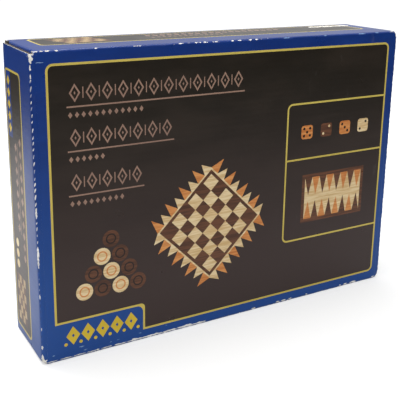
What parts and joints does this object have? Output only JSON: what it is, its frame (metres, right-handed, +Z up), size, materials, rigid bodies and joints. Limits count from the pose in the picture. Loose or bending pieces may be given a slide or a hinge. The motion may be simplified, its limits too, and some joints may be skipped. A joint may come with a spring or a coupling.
{
  "type": "games compendium box",
  "caption": "Tuck-end carton of printed corrugated board, with hinged end flaps, that holds a folding wooden chess and backgammon case and its men, stones and dice.",
  "frame": {"origin": "middle of the base that the carton stands on", "axes": "+X to the right along the length, +Y to the back, +Z up; the printed front faces -Y"},
  "size_m": [0.234, 0.048, 0.166],
  "materials": {
    "printed_board": "gloss printed corrugated board, blue with gold lines and a dark field",
    "inside_board": "raw kraft liner",
    "birch": "satin birch ply",
    "walnut": "satin walnut",
    "maple": "satin maple veneer",
    "rosewood": "satin dark veneer",
    "hinge_brass": "polished brass",
    "magnet_steel": "nickel plated",
    "die_plastic": "polished ivory plastic",
    "leaflet_paper": "uncoated paper",
    "boxwood": "waxed boxwood",
    "ebony": "waxed dark wood"
  },
  "bodies": {
    "root": {"carton_sleeve": "printed_board", "carton_glue_flap": "inside_board", "front_panel_board": "birch", "front_margin_veneer": "walnut", "front_light_squares": "maple", "front_dark_squares": "rosewood", "front_left_rail": "walnut", "front_right_rail": "walnut", "front_hinge_rail": "walnut", "front_edge_rail": "walnut", "front_tray_divider": "walnut", "front_field_lining": "birch", "front_light_points": "maple", "front_dark_points": "rosewood", "back_panel_board": "birch", "back_margin_veneer": "walnut", "back_light_squares": "maple", "back_dark_squares": "rosewood", "back_left_rail": "walnut", "back_right_rail": "walnut", "back_hinge_rail": "walnut", "back_edge_rail": "walnut", "back_tray_divider": "walnut", "back_field_lining": "birch", "back_light_points": "maple", "back_dark_points": "rosewood", "hinge_front_leaves": "hinge_brass", "hinge_back_leaves": "hinge_brass", "hinge_pins": "hinge_brass", "hinge_screws": "hinge_brass", "front_magnets": "magnet_steel", "back_magnets": "magnet_steel", "light_stones": "boxwood", "dark_stones": "ebony", "dice": "die_plastic", "rules_leaflet": "leaflet_paper", "light_pawns": "boxwood", "light_rooks": "boxwood", "light_knights": "boxwood", "light_bishops": "boxwood", "light_queen": "boxwood", "light_king": "boxwood", "dark_pawns": "ebony", "dark_rooks": "ebony", "dark_knights": "ebony", "dark_bishops": "ebony", "dark_queen": "ebony", "dark_king": "ebony"},
    "left_end": {"left_end_flap": "printed_board"},
    "left_tuck": {"left_tuck_flap": "printed_board"},
    "left_top_dust": {"left_top_dust_flap": "printed_board"},
    "left_bottom_dust": {"left_bottom_dust_flap": "printed_board"},
    "right_end": {"right_end_flap": "printed_board"},
    "right_tuck": {"right_tuck_flap": "printed_board"},
    "right_top_dust": {"right_top_dust_flap": "printed_board"},
    "right_bottom_dust": {"right_bottom_dust_flap": "printed_board"}
  },
  "joints": [
    {"name": "left_end_fold", "type": "hinge", "parent": "root", "child": "left_end", "pos_m": [-0.117, -0.024, 0.083], "axis": [0, 0, 1], "range_deg": [0, 120]},
    {"name": "left_tuck_fold", "type": "hinge", "parent": "left_end", "child": "left_tuck", "pos_m": [-0.117, 0.0219, 0.083], "axis": [0, 0, -1], "range_deg": [0, 15]},
    {"name": "left_top_dust_fold", "type": "hinge", "parent": "root", "child": "left_top_dust", "pos_m": [-0.1152, 0, 0.166], "axis": [0, 1, 0], "range_deg": [0, 66]},
    {"name": "left_bottom_dust_fold", "type": "hinge", "parent": "root", "child": "left_bottom_dust", "pos_m": [-0.1152, 0, 0], "axis": [0, -1, 0], "range_deg": [0, 66]},
    {"name": "right_end_fold", "type": "hinge", "parent": "root", "child": "right_end", "pos_m": [0.117, -0.024, 0.083], "axis": [0, 0, -1], "range_deg": [0, 120]},
    {"name": "right_tuck_fold", "type": "hinge", "parent": "right_end", "child": "right_tuck", "pos_m": [0.117, 0.0219, 0.083], "axis": [0, 0, 1], "range_deg": [0, 15]},
    {"name": "right_top_dust_fold", "type": "hinge", "parent": "root", "child": "right_top_dust", "pos_m": [0.1152, 0, 0.166], "axis": [0, -1, 0], "range_deg": [0, 66]},
    {"name": "right_bottom_dust_fold", "type": "hinge", "parent": "root", "child": "right_bottom_dust", "pos_m": [0.1152, 0, 0], "axis": [0, 1, 0], "range_deg": [0, 66]}
  ],
  "couplings": [
    {"joint": "left_tuck_fold", "follows": "left_end_fold", "ratio": 0.12},
    {"joint": "left_top_dust_fold", "follows": "left_end_fold", "ratio": 0.55},
    {"joint": "left_bottom_dust_fold", "follows": "left_end_fold", "ratio": 0.55},
    {"joint": "right_tuck_fold", "follows": "right_end_fold", "ratio": 0.12},
    {"joint": "right_top_dust_fold", "follows": "right_end_fold", "ratio": 0.55},
    {"joint": "right_bottom_dust_fold", "follows": "right_end_fold", "ratio": 0.55}
  ]
}
